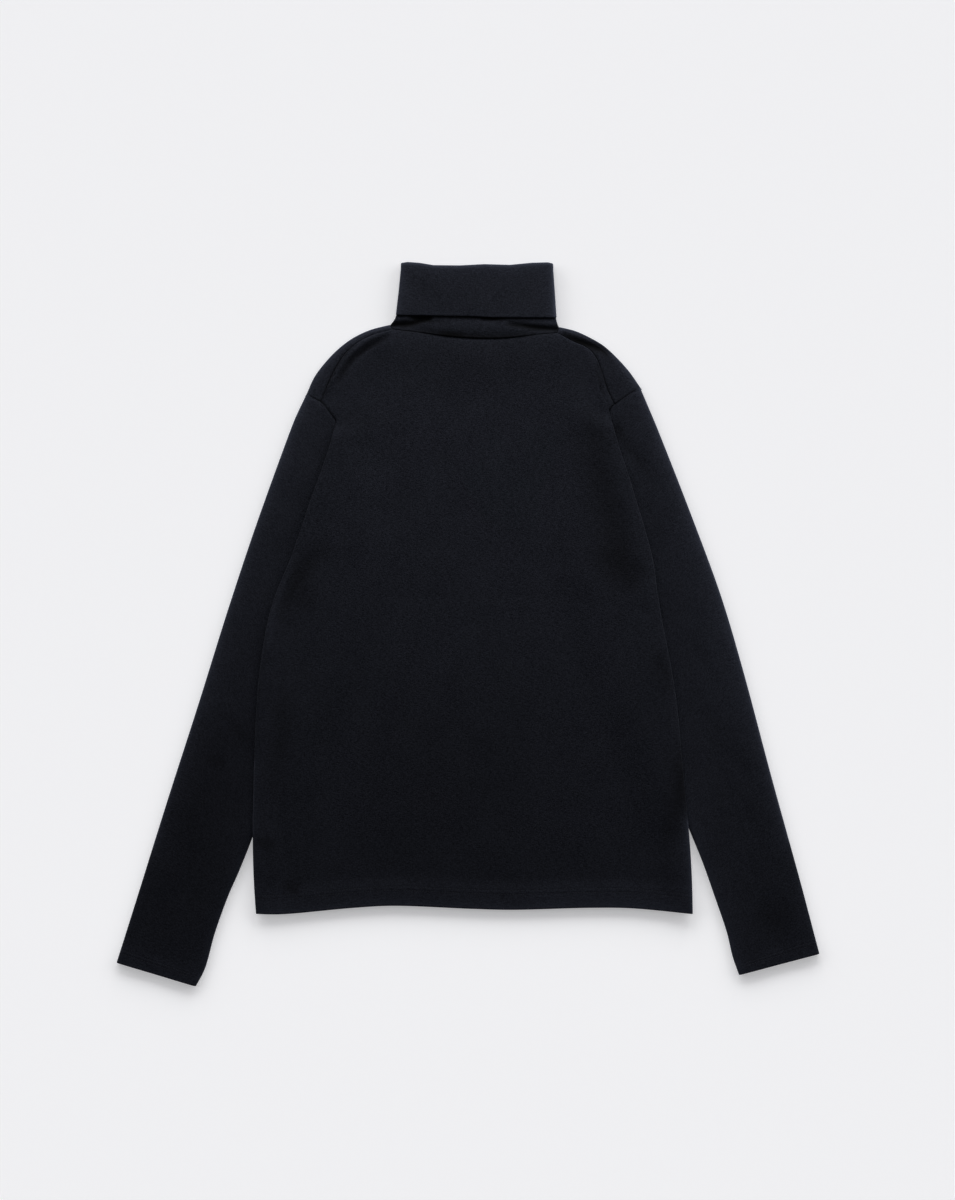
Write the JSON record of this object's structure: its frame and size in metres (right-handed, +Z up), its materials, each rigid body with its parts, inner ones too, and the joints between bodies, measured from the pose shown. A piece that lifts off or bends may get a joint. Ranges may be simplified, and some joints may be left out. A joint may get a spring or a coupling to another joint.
{
  "type": "turtleneck sweater",
  "caption": "Long-sleeved jersey turtleneck sweater laid flat, its sleeves drawn down beside and partly under the body and its collar turned down.",
  "frame": {"origin": "middle of the garment's bounding box, on the plane it lies on", "axes": "+Z up from the surface it lies on, +Y towards the collar, +X towards the sleeve at the right of the picture"},
  "size_m": [0.7736, 0.7963, 0.009],
  "materials": {
    "jersey": "matt near-black blue knitted jersey"
  },
  "bodies": {
    "root": {"front": "jersey", "back": "jersey", "sleeve_left": "jersey", "sleeve_right": "jersey", "collar": "jersey"}
  },
  "joints": []
}
